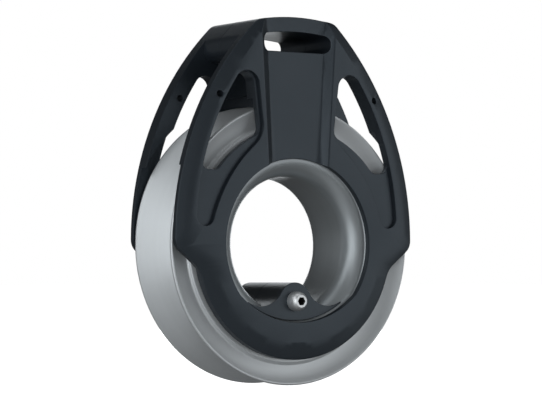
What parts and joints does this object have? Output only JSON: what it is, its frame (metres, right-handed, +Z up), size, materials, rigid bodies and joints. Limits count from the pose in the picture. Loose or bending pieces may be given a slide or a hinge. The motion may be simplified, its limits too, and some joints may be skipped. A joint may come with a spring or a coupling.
{
  "type": "open-centre v-groove sheave block",
  "caption": "Open-centre pulley block: a V-groove sheave ring on caged rollers round a flared hub ring, between black cheeks joined at the head, with a post across the bore.",
  "frame": {"origin": "centre of the sheave, on its axis and on its middle plane", "axes": "+Z up to the head, +Y along the sheave's axis to the rear, +X to the right as seen from the front"},
  "size_m": [0.15, 0.0537, 0.1959],
  "materials": {
    "cheek_black": "bead-blasted, black anodised",
    "lug_black": "black anodised",
    "hub_alloy": "turned, hard anodised grey",
    "sheave_alloy": "turned, hard anodised grey",
    "stainless": "polished stainless steel",
    "roller_polymer": "ground bearing polymer",
    "cage_polymer": "moulded bearing polymer",
    "ring_polymer": "turned bearing polymer"
  },
  "bodies": {
    "block": {"front_cheek": "cheek_black", "rear_cheek": "cheek_black", "hub": "hub_alloy", "front_thrust_ring": "ring_polymer", "rear_thrust_ring": "ring_polymer", "front_lug": "lug_black", "rear_lug": "lug_black", "post_screw": "stainless", "left_head_screw": "stainless", "right_head_screw": "stainless"},
    "sheave": {"sheave": "sheave_alloy"},
    "cage": {"roller_cage": "cage_polymer", "roller_01": "roller_polymer", "roller_02": "roller_polymer", "roller_03": "roller_polymer", "roller_04": "roller_polymer", "roller_05": "roller_polymer", "roller_06": "roller_polymer", "roller_07": "roller_polymer", "roller_08": "roller_polymer", "roller_09": "roller_polymer", "roller_10": "roller_polymer", "roller_11": "roller_polymer", "roller_12": "roller_polymer", "roller_13": "roller_polymer", "roller_14": "roller_polymer", "roller_15": "roller_polymer", "roller_16": "roller_polymer", "roller_17": "roller_polymer", "roller_18": "roller_polymer", "roller_19": "roller_polymer", "roller_20": "roller_polymer"}
  },
  "joints": [
    {"name": "sheave_spin", "type": "hinge", "parent": "block", "child": "sheave", "pos_m": [0, 0, 0], "axis": [0, 1, 0], "continuous": true},
    {"name": "cage_orbit", "type": "hinge", "parent": "block", "child": "cage", "pos_m": [0, 0, 0], "axis": [0, 1, 0], "continuous": true}
  ],
  "couplings": [
    {"joint": "cage_orbit", "follows": "sheave_spin", "ratio": 0.52913}
  ]
}
